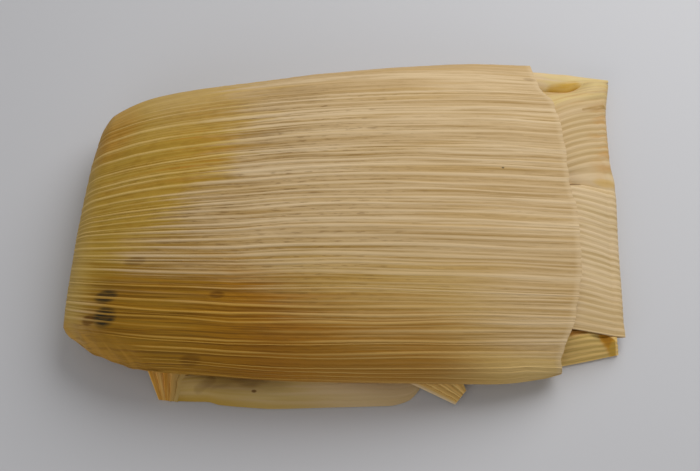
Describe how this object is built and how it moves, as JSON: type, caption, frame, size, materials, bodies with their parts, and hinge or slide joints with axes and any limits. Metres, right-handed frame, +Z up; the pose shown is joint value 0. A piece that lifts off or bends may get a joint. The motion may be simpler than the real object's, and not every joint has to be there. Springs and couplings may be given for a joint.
{
  "type": "tamale",
  "caption": "Flat pillow-shaped tamale in dried corn husks, ribbed along its length, with one end closed, the other folded under and a loose husk flap along the front foot.",
  "frame": {"origin": "on the table, under the middle of the whole tamale", "axes": "+X along the husk fibres to the folded end, +Y to the back edge away from the side flap, +Z up"},
  "size_m": [0.1399, 0.0921, 0.0281],
  "materials": {
    "husk_dry": "dry ribbed corn husk, satin, damp and brown-stained towards the closed end",
    "husk_yellow": "yellow inner corn husk, smooth satin",
    "husk_smooth": "pale smooth corn husk with faint long streaks, satin",
    "husk_damp": "damp folded corn husk, slightly glossy"
  },
  "bodies": {
    "root": {"wrapped_body": "husk_dry", "end_fold": "husk_dry", "end_under_layer": "husk_yellow", "end_curl": "husk_yellow", "side_flap": "husk_smooth", "tail_corner": "husk_damp", "corner_tab": "husk_smooth"}
  },
  "joints": []
}
